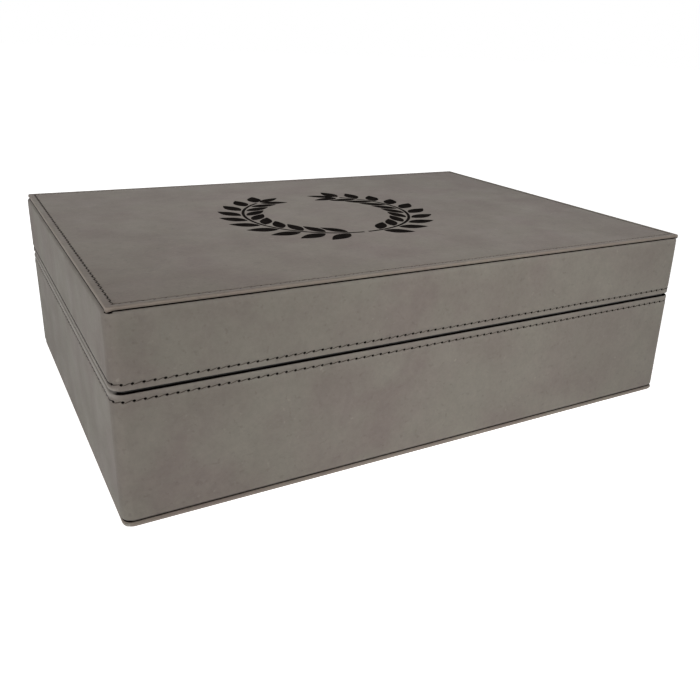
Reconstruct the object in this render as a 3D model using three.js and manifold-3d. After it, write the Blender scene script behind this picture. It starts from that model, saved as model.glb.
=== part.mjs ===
// Leatherette gift box: a wrapped base and a wrapped lid on two stop hinges at the back.
// Millimetres. +X runs along the front to the right, +Y towards the back and +Z up.
// The origin is the centre of the underside.
import * as THREE from "three";
import { mergeVertices } from "three/addons/utils/BufferGeometryUtils.js";
import Module from "manifold-3d";

const wasm = await Module();
wasm.setup();

// Overall sizes, outside the wrapped walls
const BOX_WIDTH = 300;
const BOX_DEPTH = 218;
const BASE_HEIGHT = 57.4; // table to base rim
const PARTING_GAP = 1.4; // base rim to lid rim
const LID_HEIGHT = 32.8; // lid rim to lid top

// Glued layers and running clearances
const FIT = 0.15; // glue line between a piece and what it is glued to
const RUN = 0.3; // clearance between pieces that move past each other
const OVERRUN = 2; // how far a cutting tool passes its work

// Walls: fibreboard, wrapped in leatherette outside and in lining cloth over the rim
const SKIN = 0.6; // leatherette or lining cloth
const BOARD = 8;
const CORNER_RADIUS = 5.5;
const RIM_ROLL = 1;
const INNER_ROLL = 1.2;
const FOOT_ROLL = 1.6;
const RIM_LAP = 2.4; // leatherette on the rim, from the outside
const TURN_IN = 14; // cloth down the inside of the wall
const TURN_UNDER = 16; // leatherette under the foot, from the outside
const WALL = BOARD + 2 * (SKIN + FIT);
const RIM_MIDDLE = (RIM_LAP + FIT + WALL - INNER_ROLL) / 2; // middle of the cloth on the rim

// Floor of the base and top of the lid, let into rebates in the walls
const FLOOR_BOARD = 3;
const REBATE = 4;

// Thin covered panels, one under the base and one on the lid
const LID_PANEL_CORE = 0.5;
const BASE_PANEL_CORE = 1.1;
const PANEL_SKIN = 0.4; // leatherette on a panel, shaved thinner than on the walls
const PANEL_EDGE = 0.7;
const PANEL_CORNER = 2.2;
const PANEL_TURN_IN = 15;
const LID_PANEL_INSET = 0.9;
const BASE_PANEL_INSET = 0.4;
const PANEL_WRAP = 2 * (PANEL_SKIN + FIT); // leatherette and glue on both faces of a core

// Lined cards on the insides of the walls. The base's stand above its rim and guide the lid.
const LINING = 1.8;
const NECK = 2.2; // base rim to the top of the base's cards
const LINING_GAP = 1; // between the edges of the base's and the lid's cards
const LINING_ROUND = 0.8;

// Padded floor and ceiling
const PAD = 3;
const PAD_CROWN = 1.4;
const PAD_TUCK = 0.8;
const PAD_CORNER = 3;
const PAD_STEPS = 4;
const CROWN_SHARES = [0.02, 0.06, 0.12, 0.2, 0.32, 0.5, 0.75];

// Round magnets, pressed into the front rims
const MAGNET_RADIUS = 2.5;
const MAGNET_THICKNESS = 3;
const MAGNET_INSET = 55; // end of the box to the magnet's middle
const MAGNET_PROUD = (PARTING_GAP - RUN) / 2;

// Stop hinges: stamped leaves with interleaved knuckles and tails that meet when the lid is open
const HINGE_INSET = 60; // end of the box to the hinge's middle
const HINGE_WIDTH = 30;
const KNUCKLES = 5;
const LEAF = 0.8;
const LEAF_DEPTH = 8;
const PIN_RADIUS = 1;
const PIN_CHAMFER = 0.3;
const BORE_RADIUS = PIN_RADIUS + FIT;
const BARREL_RADIUS = 2;
const TAIL_LENGTH = 5; // pin axis to the end of a tail
const TAIL_GAP = 0.2; // between the tails when the lid stands open
const OPEN_ANGLE = THREE.MathUtils.degToRad(95);
const HOOD_RADIUS = BARREL_RADIUS + RUN;
const PIN_OFFSET = HOOD_RADIUS + LEAF + FIT; // back of the walls to the pin axis

// Countersunk screws, two in each leaf
const SCREW_EDGE = 6; // end of a leaf to a screw's middle
const SCREW_LENGTH = 7;
const SCREW_HEAD_RADIUS = 1.8;
const SCREW_SHANK_RADIUS = 0.9;
const SCREW_TIP = 1.5;
const CROSS_WIDTH = 0.5;
const CROSS_SPAN = 2.2;
const CROSS_DEPTH = 0.45;

// Faces in a quarter round, a box corner and a turned piece
const ROUND_STEPS = 3;
const CORNER_STEPS = 5;
const TURNED_SIDES = 16;

// The two halves. Depths in a half are measured from its rim, and rise gives their sense.
const halves = {
  base: {
    rim: BASE_HEIGHT,
    rise: -1,
    wall: BASE_HEIGHT - BASE_PANEL_CORE - PANEL_WRAP - FIT,
    panelCore: BASE_PANEL_CORE,
    panelInset: BASE_PANEL_INSET,
    liningEdge: -NECK,
  },
  lid: {
    rim: BASE_HEIGHT + PARTING_GAP,
    rise: 1,
    wall: LID_HEIGHT - LID_PANEL_CORE - PANEL_WRAP - FIT,
    panelCore: LID_PANEL_CORE,
    panelInset: LID_PANEL_INSET,
    liningEdge: NECK - PARTING_GAP + LINING_GAP,
  },
};
const PARTING_LEVEL = BASE_HEIGHT + PARTING_GAP / 2;

// The four sides: each wall's turn about Z, half its length and its distance from the centre
const sides = {
  front: { turn: 0, reach: BOX_WIDTH / 2, distance: BOX_DEPTH / 2 },
  right: { turn: Math.PI / 2, reach: BOX_DEPTH / 2, distance: BOX_WIDTH / 2 },
  back: { turn: Math.PI, reach: BOX_WIDTH / 2, distance: BOX_DEPTH / 2 },
  left: { turn: -Math.PI / 2, reach: BOX_DEPTH / 2, distance: BOX_WIDTH / 2 },
};
const boxPlan = { halfX: BOX_WIDTH / 2, halfY: BOX_DEPTH / 2, radius: CORNER_RADIUS, leastRadius: FIT };

const materials = {
  leatherette: new THREE.MeshStandardMaterial({ color: "#766f68", roughness: 0.85, metalness: 0 }),
  fibreboard: new THREE.MeshStandardMaterial({ color: "#a98a66", roughness: 0.9, metalness: 0 }),
  card: new THREE.MeshStandardMaterial({ color: "#8f8a80", roughness: 0.95, metalness: 0 }),
  lining: new THREE.MeshStandardMaterial({ color: "#2b2a2a", roughness: 1, metalness: 0 }),
  hinge: new THREE.MeshStandardMaterial({ color: "#b9b6ae", roughness: 0.32, metalness: 1 }),
  magnet: new THREE.MeshStandardMaterial({ color: "#c4c4c2", roughness: 0.2, metalness: 1 }),
};

const levelOf = (half, depth) => half.rim + half.rise * depth;

function signedVolume(geometry) {
  const { position } = geometry.attributes;
  const corners = [0, 1, 2].map(() => new THREE.Vector3());
  let volume = 0;
  for (let i = 0; i < geometry.index.count; i += 3) {
    corners.forEach((corner, k) => corner.fromBufferAttribute(position, geometry.index.getX(i + k)));
    volume += corners[0].dot(corners[1].clone().cross(corners[2])) / 6;
  }
  return volume;
}

// Gives a closed geometry merged vertices and faces that point out
function closedBody(geometry) {
  const bare = new THREE.BufferGeometry().setAttribute("position", geometry.getAttribute("position"));
  const merged = mergeVertices(geometry.index ? bare.setIndex(geometry.index) : bare);
  if (signedVolume(merged) < 0) merged.setIndex([...merged.index.array].reverse());
  return merged;
}

function solidOf(geometry) {
  const body = closedBody(geometry);
  const vertProperties = new Float32Array(body.attributes.position.array);
  const triVerts = new Uint32Array(body.index.array);
  return new wasm.Manifold(new wasm.Mesh({ numProp: 3, vertProperties, triVerts }));
}

function geometryOf(solid) {
  const { vertProperties, triVerts } = solid.getMesh();
  const position = new THREE.BufferAttribute(new Float32Array(vertProperties), 3);
  const geometry = new THREE.BufferGeometry().setAttribute("position", position);
  return geometry.setIndex(new THREE.BufferAttribute(new Uint32Array(triVerts), 1));
}

function cut(geometry, tools) {
  return geometryOf(tools.reduce((solid, tool) => solid.subtract(solidOf(tool)), solidOf(geometry)));
}

function join(geometries) {
  return geometryOf(geometries.map(solidOf).reduce((whole, solid) => whole.add(solid)));
}

function keepInside(geometry, tool) {
  return geometryOf(solidOf(geometry).intersect(solidOf(tool)));
}

// One turn round a rounded rectangle, drawn in from the plan by the inset
function outlineAt(plan, inset) {
  const radius = Math.max(plan.radius - inset, plan.leastRadius);
  const points = [];
  for (let corner = 0; corner < 4; corner++) {
    const signX = corner === 0 || corner === 3 ? 1 : -1;
    const signY = corner < 2 ? 1 : -1;
    const centreX = signX * (plan.halfX - inset - radius);
    const centreY = signY * (plan.halfY - inset - radius);
    for (let step = 0; step <= CORNER_STEPS; step++) {
      const angle = (Math.PI / 2) * (corner + step / CORNER_STEPS);
      points.push([centreX + radius * Math.cos(angle), centreY + radius * Math.sin(angle)]);
    }
  }
  return points;
}

// Joins outlines at [inset, depth] points of a section. A closed section makes a ring, and an open
// one is capped flat at both ends.
function loft(half, plan, section, closed) {
  const rings = section.map(([inset, depth]) =>
    outlineAt(plan, inset).map(([x, y]) => [x, y, levelOf(half, depth)]),
  );
  const count = rings[0].length;
  const index = [];
  const bands = closed ? rings.length : rings.length - 1;
  for (let band = 0; band < bands; band++) {
    const near = band * count;
    const far = ((band + 1) % rings.length) * count;
    for (let i = 0; i < count; i++) {
      const next = (i + 1) % count;
      index.push(near + i, near + next, far + next, near + i, far + next, far + i);
    }
  }
  if (!closed) {
    const last = (rings.length - 1) * count;
    for (let i = 1; i < count - 1; i++) {
      index.push(0, i + 1, i, last, last + i, last + i + 1);
    }
  }
  const geometry = new THREE.BufferGeometry().setIndex(index);
  geometry.setAttribute("position", new THREE.Float32BufferAttribute(rings.flat(2), 3));
  return closedBody(geometry);
}

// Part of a round in a section, between two angles counted in quarter turns. Quarter 0 points away
// from the outside, 1 away from the rim, 2 to the outside and 3 to the rim.
function round([inset, depth], radius, from, to) {
  return Array.from({ length: ROUND_STEPS + 1 }, (_, step) => {
    const angle = (Math.PI / 2) * (from + ((to - from) * step) / ROUND_STEPS);
    return [inset + radius * Math.cos(angle), depth + radius * Math.sin(angle)];
  });
}

// Turns a profile of [radius, depth] points about an upright axis at x, y
function turned(half, profile, x, y) {
  const points = profile.map(([radius, depth]) => new THREE.Vector2(radius, levelOf(half, depth)));
  const geometry = new THREE.LatheGeometry(points, TURNED_SIDES);
  return closedBody(geometry.rotateX(Math.PI / 2).translate(x, y, 0));
}

// Extrudes an outline of [y, z] points along X
function bar(outline, from, to) {
  const shape = new THREE.Shape(outline.map(([y, z]) => new THREE.Vector2(y, z)));
  const geometry = new THREE.ExtrudeGeometry(shape, { depth: to - from, bevelEnabled: false });
  const [alongX, alongY, alongZ] = [0, 1, 2].map((axis) => new THREE.Vector3().setComponent(axis, 1));
  geometry.applyMatrix4(new THREE.Matrix4().makeBasis(alongY, alongZ, alongX));
  return closedBody(geometry.translate(from, 0, 0));
}

function piece(name, geometry, material) {
  const mesh = new THREE.Mesh(geometry, material);
  mesh.name = name;
  mesh.geometry.computeVertexNormals();
  return mesh;
}

// Places in plan that the two halves share
const magnetPlaces = [-1, 1].map((side) => [
  side * (BOX_WIDTH / 2 - MAGNET_INSET),
  RIM_MIDDLE - BOX_DEPTH / 2,
]);
const hingePlaces = { left: HINGE_INSET - BOX_WIDTH / 2, right: BOX_WIDTH / 2 - HINGE_INSET };
const screwOffsets = [-1, 1].map((side) => side * (HINGE_WIDTH / 2 - SCREW_EDGE));
const SCREW_LINE = BOX_DEPTH / 2 - RIM_MIDDLE;
const screwPlaces = Object.values(hingePlaces).flatMap((x) =>
  screwOffsets.map((offset) => [x + offset, SCREW_LINE]),
);

// Screws and magnets, and the holes that take them

const SCREW_TOP = SKIN - LEAF;
const SCREW_CONE = SCREW_HEAD_RADIUS - SCREW_SHANK_RADIUS;

function crossSlot(half, x, y, spanX, spanY) {
  const top = levelOf(half, SCREW_TOP - CROSS_DEPTH);
  const slot = new THREE.BoxGeometry(spanX, spanY, 2 * CROSS_DEPTH);
  return slot.translate(x, y, top + half.rise * CROSS_DEPTH);
}

function screw(half, x, y) {
  const profile = [
    [0, SCREW_TOP],
    [SCREW_HEAD_RADIUS, SCREW_TOP],
    [SCREW_SHANK_RADIUS, SCREW_TOP + SCREW_CONE],
    [SCREW_SHANK_RADIUS, SCREW_TOP + SCREW_LENGTH - SCREW_TIP],
    [0, SCREW_TOP + SCREW_LENGTH],
  ];
  const slots = [
    crossSlot(half, x, y, CROSS_SPAN, CROSS_WIDTH),
    crossSlot(half, x, y, CROSS_WIDTH, CROSS_SPAN),
  ];
  return cut(turned(half, profile, x, y), slots);
}

function screwHole(half, x, y) {
  const profile = [
    [0, SCREW_TOP - OVERRUN],
    [SCREW_HEAD_RADIUS + FIT, SCREW_TOP - OVERRUN],
    [SCREW_HEAD_RADIUS + FIT, SCREW_TOP],
    [SCREW_SHANK_RADIUS + FIT, SCREW_TOP + SCREW_CONE],
    [SCREW_SHANK_RADIUS + FIT, SCREW_TOP + SCREW_LENGTH],
    [0, SCREW_TOP + SCREW_LENGTH + FIT],
  ];
  return turned(half, profile, x, y);
}

function cylinder(half, radius, from, to, x, y) {
  const profile = [
    [0, from],
    [radius, from],
    [radius, to],
    [0, to],
  ];
  return turned(half, profile, x, y);
}

function magnet(half, x, y) {
  return cylinder(half, MAGNET_RADIUS, -MAGNET_PROUD, MAGNET_THICKNESS - MAGNET_PROUD, x, y);
}

function magnetHole(half, x, y) {
  return cylinder(half, MAGNET_RADIUS + FIT, -OVERRUN, MAGNET_THICKNESS - MAGNET_PROUD + FIT, x, y);
}

// Walls

// The space of one wall between its two mitres, with a glue line at each
function mitreSpace(side) {
  const kerf = FIT / Math.SQRT2;
  const inner = WALL + OVERRUN;
  const space = new THREE.Shape([
    new THREE.Vector2(kerf - side.reach - OVERRUN, -OVERRUN),
    new THREE.Vector2(side.reach + OVERRUN - kerf, -OVERRUN),
    new THREE.Vector2(side.reach - inner - kerf, inner),
    new THREE.Vector2(inner + kerf - side.reach, inner),
  ]);
  const height = BASE_HEIGHT + PARTING_GAP + LID_HEIGHT;
  const geometry = new THREE.ExtrudeGeometry(space, { depth: height, bevelEnabled: false });
  return geometry.translate(0, -side.distance, 0).rotateZ(side.turn);
}

// The four boards as one ring, rolled at the rim and rebated for the floor board
function boardRing(half) {
  const outer = SKIN + FIT;
  const inner = outer + BOARD;
  const foot = half.wall - outer;
  const shelf = foot - FLOOR_BOARD - FIT;
  const section = [
    ...round([WALL - INNER_ROLL, INNER_ROLL], INNER_ROLL - outer, 4, 3),
    ...round([RIM_ROLL, RIM_ROLL], RIM_ROLL - outer, 3, 2),
    ...round([FOOT_ROLL, half.wall - FOOT_ROLL], FOOT_ROLL - outer, 2, 1),
    [inner - REBATE, foot],
    [inner - REBATE, shelf],
    [inner, shelf],
  ];
  return loft(half, boxPlan, section, true);
}

function wallBoards(half, label) {
  const ring = boardRing(half);
  const holes = {
    front: magnetPlaces.map(([x, y]) => magnetHole(half, x, y)),
    back: screwPlaces.map(([x, y]) => screwHole(half, x, y)),
  };
  return Object.entries(sides).map(([name, side]) => {
    const board = cut(keepInside(ring, mitreSpace(side)), holes[name] ?? []);
    return piece(`${label}_${name}_board`, board, materials.fibreboard);
  });
}

// The notch in what covers the rim, which lets a hinge leaf lie on the board
function leafNotch(half, x) {
  const width = HINGE_WIDTH + 2 * FIT;
  const depth = LEAF_DEPTH + FIT + OVERRUN;
  const height = SKIN + FIT + OVERRUN;
  const notch = new THREE.BoxGeometry(width, depth, height);
  const middle = levelOf(half, (SKIN + FIT - OVERRUN) / 2);
  return notch.translate(x, BOX_DEPTH / 2 + OVERRUN - depth / 2, middle);
}

// One band of leatherette: from its lap on the rim, down the outside and under the foot
function wrap(half, label) {
  const rim = [RIM_ROLL, RIM_ROLL];
  const foot = [FOOT_ROLL, half.wall - FOOT_ROLL];
  const section = [
    [RIM_LAP, SKIN],
    [RIM_LAP, 0],
    ...round(rim, RIM_ROLL, 3, 2),
    ...round(foot, FOOT_ROLL, 2, 1),
    [TURN_UNDER, half.wall],
    [TURN_UNDER, half.wall - SKIN],
    ...round(foot, FOOT_ROLL - SKIN, 1, 2),
    ...round(rim, RIM_ROLL - SKIN, 2, 3),
  ];
  const notches = Object.values(hingePlaces).map((x) => leafNotch(half, x));
  return piece(`${label}_wrap`, cut(loft(half, boxPlan, section, true), notches), materials.leatherette);
}

// A strip of lining cloth over the rest of the rim and down the inside
function rimCloth(half, label) {
  const innerRim = [WALL - INNER_ROLL, INNER_ROLL];
  const edge = RIM_LAP + FIT;
  const section = [
    [WALL, TURN_IN],
    ...round(innerRim, INNER_ROLL, 4, 3),
    [edge, 0],
    [edge, SKIN],
    ...round(innerRim, INNER_ROLL - SKIN, 3, 4),
    [WALL - SKIN, TURN_IN],
  ];
  const openings = [
    ...magnetPlaces.map(([x, y]) => magnetHole(half, x, y)),
    ...Object.values(hingePlaces).map((x) => leafNotch(half, x)),
  ];
  return piece(`${label}_rim_cloth`, cut(loft(half, boxPlan, section, true), openings), materials.lining);
}

// Boards and panels across the box

function floorBoard(half, name) {
  const inset = SKIN + FIT + BOARD - REBATE + FIT;
  const foot = half.wall - SKIN - FIT;
  const section = [
    [inset, foot - FLOOR_BOARD],
    [inset, foot],
  ];
  return piece(name, loft(half, boxPlan, section, false), materials.fibreboard);
}

function panelPlan(half) {
  const halfX = BOX_WIDTH / 2 - half.panelInset;
  const halfY = BOX_DEPTH / 2 - half.panelInset;
  return { halfX, halfY, radius: PANEL_CORNER, leastRadius: FIT };
}

function panelCore(half, label) {
  const inset = PANEL_SKIN + FIT;
  const seam = half.wall + FIT;
  const section = [
    [inset, seam + inset],
    [inset, seam + inset + half.panelCore],
  ];
  return piece(`${label}_panel_core`, loft(half, panelPlan(half), section, false), materials.card);
}

// A sheet of leatherette over the panel's face, round its edge and turned in behind it
function panelCover(half, label) {
  const seam = half.wall + FIT;
  const face = seam + half.panelCore + PANEL_WRAP;
  const section = [
    [PANEL_SKIN, face - PANEL_SKIN],
    [PANEL_SKIN, seam + PANEL_SKIN],
    [PANEL_TURN_IN, seam + PANEL_SKIN],
    [PANEL_TURN_IN, seam],
    ...round([PANEL_EDGE, seam + PANEL_EDGE], PANEL_EDGE, 3, 2),
    ...round([PANEL_EDGE, face - PANEL_EDGE], PANEL_EDGE, 2, 1),
  ];
  return piece(`${label}_panel_cover`, loft(half, panelPlan(half), section, false), materials.leatherette);
}

// Linings and pads

const FLOOR_FACE_FROM_FOOT = SKIN + FIT + FLOOR_BOARD;
const LINING_BACK = WALL + RUN;
const LINING_FACE = LINING_BACK + LINING;

// A lined card along one wall, with its edge by the rim rounded
function lining(half, reach) {
  const edge = half.liningEdge + LINING_ROUND;
  const section = [
    [LINING_BACK, half.wall - FLOOR_FACE_FROM_FOOT - FIT],
    ...round([LINING_BACK + LINING_ROUND, edge], LINING_ROUND, 2, 3),
    ...round([LINING_FACE - LINING_ROUND, edge], LINING_ROUND, 3, 4),
    [LINING_FACE, half.wall - FLOOR_FACE_FROM_FOOT - FIT],
  ];
  return bar(section.map(([inset, depth]) => [inset, levelOf(half, depth)]), -reach, reach);
}

function linings(half, label) {
  return Object.entries(sides).map(([name, side]) => {
    const isLong = name === "front" || name === "back";
    const reach = side.reach - (isLong ? LINING_BACK : LINING_FACE + FIT);
    const mesh = piece(`${label}_${name}_lining`, lining(half, reach), materials.lining);
    mesh.rotation.z = side.turn;
    mesh.position.set(side.distance * Math.sin(side.turn), -side.distance * Math.cos(side.turn), 0);
    return mesh;
  });
}

// A thin cushion on the floor board: sides drawn in at both edges and a low crown
function pad(half, name) {
  const inset = LINING_FACE + RUN;
  const plan = {
    halfX: BOX_WIDTH / 2 - inset,
    halfY: BOX_DEPTH / 2 - inset,
    radius: PAD_CORNER,
    leastRadius: PAD_CORNER,
  };
  const floor = half.wall - FLOOR_FACE_FROM_FOOT - FIT;
  const span = plan.halfY - PAD_TUCK - PAD_CORNER;
  const section = [];
  for (let step = 0; step <= PAD_STEPS; step++) {
    const share = step / PAD_STEPS;
    section.push([PAD_TUCK * (1 - Math.sin(Math.PI * share)), floor - PAD * share]);
  }
  for (const share of CROWN_SHARES) {
    const rise = PAD_CROWN * (1 - (1 - share) ** 4);
    section.push([PAD_TUCK + span * share, floor - PAD - rise]);
  }
  return piece(name, loft(half, plan, section, false), materials.lining);
}

// Hinges. Outlines are [y, z] points from the pin axis, with z turned to the leaf's own side.

const LEAF_NEAR = PARTING_GAP / 2 + SKIN - LEAF; // parting level to the leaf's near face
const LEAF_FAR = LEAF_NEAR + LEAF;
const KNUCKLE_PITCH = HINGE_WIDTH / KNUCKLES;
const TAIL_ANGLE = OPEN_ANGLE / 2;

const polar = (radius, angle) => [radius * Math.cos(angle), radius * Math.sin(angle)];

function arc(radius, from, to) {
  const steps = Math.ceil((Math.abs(to - from) * TURNED_SIDES) / (2 * Math.PI));
  return Array.from({ length: steps + 1 }, (_, i) => polar(radius, from + ((to - from) * i) / steps));
}

// The flat of the leaf, from inside the rim to the edge that the knuckles turn past
function leafFlat() {
  const inner = -PIN_OFFSET - LEAF_DEPTH;
  return [
    [inner, LEAF_NEAR],
    [-HOOD_RADIUS, LEAF_NEAR],
    [-HOOD_RADIUS, LEAF_FAR],
    [inner, LEAF_FAR],
  ];
}

// What joins a knuckle to the flat
function knuckleRoot() {
  return [
    [-HOOD_RADIUS - LEAF, LEAF_NEAR],
    [-PIN_RADIUS, LEAF_NEAR],
    [-PIN_RADIUS, LEAF_FAR],
    [-HOOD_RADIUS - LEAF, LEAF_FAR],
  ];
}

// The strip that carries the tail over the other leaf's knuckle
function hood() {
  const from = TAIL_ANGLE + (TAIL_GAP + LEAF) / (2 * HOOD_RADIUS);
  const to = Math.PI - Math.asin(LEAF_NEAR / HOOD_RADIUS);
  return [...arc(HOOD_RADIUS, from, to), ...arc(HOOD_RADIUS + LEAF, to, from)];
}

// The tail, whose near face meets the other leaf's tail when the lid stands open
function tail() {
  const across = TAIL_ANGLE + Math.PI / 2;
  const near = polar(TAIL_GAP / 2, across);
  const far = polar(TAIL_GAP / 2 + LEAF, across);
  const root = polar(HOOD_RADIUS, TAIL_ANGLE);
  const end = polar(TAIL_LENGTH, TAIL_ANGLE);
  const sum = (a, b) => [a[0] + b[0], a[1] + b[1]];
  return [sum(root, near), sum(end, near), sum(end, far), sum(root, far)];
}

// A leaf, whose own knuckles are the even or the odd ones
function leaf(half, firstKnuckle, x) {
  const place = (outline) => outline.map(([y, z]) => [y, half.rise * z]);
  const end = HINGE_WIDTH / 2;
  const parts = [leafFlat(), tail()].map((outline) => bar(place(outline), -end, end));
  for (let i = 0; i < KNUCKLES; i++) {
    const from = i * KNUCKLE_PITCH - end;
    const to = from + KNUCKLE_PITCH;
    if (i % 2 === firstKnuckle) {
      const barrel = arc(BARREL_RADIUS, 0, 2 * Math.PI).slice(1);
      for (const outline of [barrel, knuckleRoot()]) {
        parts.push(bar(place(outline), from + RUN / 2, to - RUN / 2));
      }
    } else {
      parts.push(bar(place(hood()), from, to));
    }
  }
  const bore = bar(arc(BORE_RADIUS, 0, 2 * Math.PI).slice(1), -end - OVERRUN, end + OVERRUN);
  const leafBody = cut(join(parts), [bore]);
  leafBody.translate(x, BOX_DEPTH / 2 + PIN_OFFSET, PARTING_LEVEL);
  return cut(leafBody, screwOffsets.map((offset) => screwHole(half, x + offset, SCREW_LINE)));
}

function pin() {
  const end = (HINGE_WIDTH - RUN) / 2;
  const profile = [
    [0, -end],
    [PIN_RADIUS - PIN_CHAMFER, -end],
    [PIN_RADIUS, PIN_CHAMFER - end],
    [PIN_RADIUS, end - PIN_CHAMFER],
    [PIN_RADIUS - PIN_CHAMFER, end],
    [0, end],
  ];
  const points = profile.map(([radius, along]) => new THREE.Vector2(radius, along));
  return closedBody(new THREE.LatheGeometry(points, TURNED_SIDES).rotateZ(Math.PI / 2));
}

function hardware(half, label) {
  const meshes = magnetPlaces.map(([x, y], i) =>
    piece(`${label}_magnet_${i === 0 ? "left" : "right"}`, magnet(half, x, y), materials.magnet),
  );
  for (const [name, x] of Object.entries(hingePlaces)) {
    const firstKnuckle = half === halves.base ? 0 : 1;
    meshes.push(piece(`hinge_${name}_${label}_leaf`, leaf(half, firstKnuckle, x), materials.hinge));
    screwOffsets.forEach((offset, i) => {
      const body = screw(half, x + offset, SCREW_LINE);
      meshes.push(piece(`hinge_${name}_${label}_screw_${i + 1}`, body, materials.hinge));
    });
  }
  return meshes;
}

function pins() {
  return Object.entries(hingePlaces).map(([name, x]) => {
    const mesh = piece(`hinge_${name}_pin`, pin(), materials.hinge);
    mesh.position.set(x, BOX_DEPTH / 2 + PIN_OFFSET, PARTING_LEVEL);
    return mesh;
  });
}

// The box

function halfOf(label, floorBoardName, padName) {
  const half = halves[label];
  const group = new THREE.Group();
  group.add(
    ...wallBoards(half, label),
    floorBoard(half, floorBoardName),
    wrap(half, label),
    rimCloth(half, label),
    panelCore(half, label),
    panelCover(half, label),
    ...linings(half, label),
    pad(half, padName),
    ...hardware(half, label),
  );
  return group;
}

const giftBox = new THREE.Group();
giftBox.add(
  halfOf("base", "base_floor_board", "base_floor_pad"),
  ...pins(),
  halfOf("lid", "lid_top_board", "lid_ceiling_pad"),
);

export default giftBox;
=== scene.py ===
"""Looks of the leatherette gift box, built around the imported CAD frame. Lengths are in millimetres
and become metres where a mesh is made."""

import math

import bmesh
import bpy
import numpy as np
from mathutils import Matrix, Vector
from mathutils.geometry import tessellate_polygon


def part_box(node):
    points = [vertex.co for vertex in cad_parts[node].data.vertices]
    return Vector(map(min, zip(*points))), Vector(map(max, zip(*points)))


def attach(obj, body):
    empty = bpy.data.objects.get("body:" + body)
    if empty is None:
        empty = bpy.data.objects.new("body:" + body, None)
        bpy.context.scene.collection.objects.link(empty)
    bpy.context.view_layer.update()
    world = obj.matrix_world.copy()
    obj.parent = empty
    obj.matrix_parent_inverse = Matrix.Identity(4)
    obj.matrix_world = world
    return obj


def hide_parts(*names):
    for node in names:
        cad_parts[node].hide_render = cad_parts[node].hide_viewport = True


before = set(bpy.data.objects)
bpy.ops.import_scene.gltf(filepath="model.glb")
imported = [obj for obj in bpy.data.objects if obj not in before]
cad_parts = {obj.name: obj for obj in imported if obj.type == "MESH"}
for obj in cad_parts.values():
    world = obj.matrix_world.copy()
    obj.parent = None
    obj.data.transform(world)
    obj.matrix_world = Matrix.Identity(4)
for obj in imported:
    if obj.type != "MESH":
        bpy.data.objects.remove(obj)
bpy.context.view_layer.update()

MM = 0.001
LEAST_RADIUS = 0.15  # of a corner that is inset by more than its own radius
SHARP = math.radians(50)  # edges that turn further stay crisp

# The two halves
RISE = {"base": -1, "lid": 1}  # from the rim to the foot: down in the base, up in the lid
SEED = {"base": 11, "lid": 23}
SIDE_FADE = 3.0  # the painted light and shade of the left and right sides fades in over this length

# Sections of the wrapped walls and panels. RIM_ROLL and PANEL_CORNER follow the photo and differ
# from the imported solids. The rest is the same.
SKIN = 0.6
WALL = 9.5
CORNER_RADIUS = 5.5
RIM_ROLL = 0.7
RIM_LAP = 2.4  # leatherette on the rim, from the outside
INNER_ROLL = 1.2
FOOT_ROLL = 1.6
TURN_IN = 14.0  # lining cloth down the inside of the wall
TURN_UNDER = 16.0  # leatherette under the foot, from the outside
PANEL_SKIN = 0.4
PANEL_EDGE = 0.7
PANEL_CORNER = {"lid": 1.2, "base": 4.5}
PANEL_TURN_IN = 15.0
GLUE = 0.15

# Cuts into the rims
NOTCH_DEPTH = 2.0
NOTCH_OVERRUN = 2.0  # past the back of the wall
SOCKET_HALF = 4.0

# Sewing
STITCH = 4.05
HOLE_DEPTH = {"wall": 0.3, "panel": 0.2}
HOLE_LENGTH = 0.68
HOLE_HEIGHT = 0.56
HOLE_STRAY = 0.1
VALLEY = {"wall": 0.24, "panel": 0.12}
VALLEY_HALF = 0.75
THREAD_RADIUS = 0.21
THREAD_RISE = 0.1
THREAD_SLANT = 0.46
THREAD_START = 0.36  # middle of a hole to the thread's end
THREAD_SUNK = {"wall": 0.28, "panel": 0.2}
THREAD_SHARES = np.array([0.0, 0.07, 0.16, 0.3, 0.5, 0.7, 0.84, 0.93, 1.0])
THREAD_SIDES = 6
WALL_ROWS = {"base": 2.9, "lid": 2.7}  # rim to the row of stitches
PANEL_ROW = 3.2  # panel edge to the row of stitches

# Where the mesh is finer: columns round each hole and rows across the stitches
STATIONS = (-0.8, -0.52, -0.27, 0.0, 0.27, 0.52, 0.8)
ROW_OFFSETS = (-1.5, -0.85, -0.48, -0.24, 0.0, 0.24, 0.48, 0.85, 1.5)
FACE_MARGINS, FACE_ROW = (3.4, 1.2), 8.0  # plain wall: from the stitches, to the foot, row height
PANEL_BORDER = 9.0  # panel edge to the flat middle of its face

# How dark the painted shade is in the parting gap and the seams along each rolled edge, and how pale the
# edges are painted: worn, and on the panels' edges also a painted highlight
RIM_PAINTED_SHADE = (1, 0.25, 0, 0, 0, 0, 0, 0)
FOOT_PAINTED_SHADE = {"lid": (0, 0, 0, 0, 0, 0.15, 1, 1), "base": (0, 0.08, 0.3, 0.35, 0.35, 0.35, 1, 1)}
PANEL_PAINTED_SHADE = {"lid": (1, 1, 0.6, 0.25, 0, 0, 0), "base": (1, 0.3, 0.22, 0.08, 0, 0, 0)}
RIM_WEAR, SEWING_WEAR, FOOT_WEAR = 0.8, 0.15, 0.4
PANEL_WEAR_AND_HIGHLIGHT = {"lid": (1.4, 1.4, 1.1, 0.7, 0.2, 0), "base": (4, 4, 4, 4, 4, 4)}

# Wreath on the lid panel
WREATH_CENTRE = np.array((-8.0, 4.0))
WREATH_RADIUS = 46.0
TWIG = 1.6
FOIL_OVER, FOIL_UNDER = 0.03, 0.1  # above and below the panel's face
FOIL_STEP = 0.0008  # keeps plates that overlap apart

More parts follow.
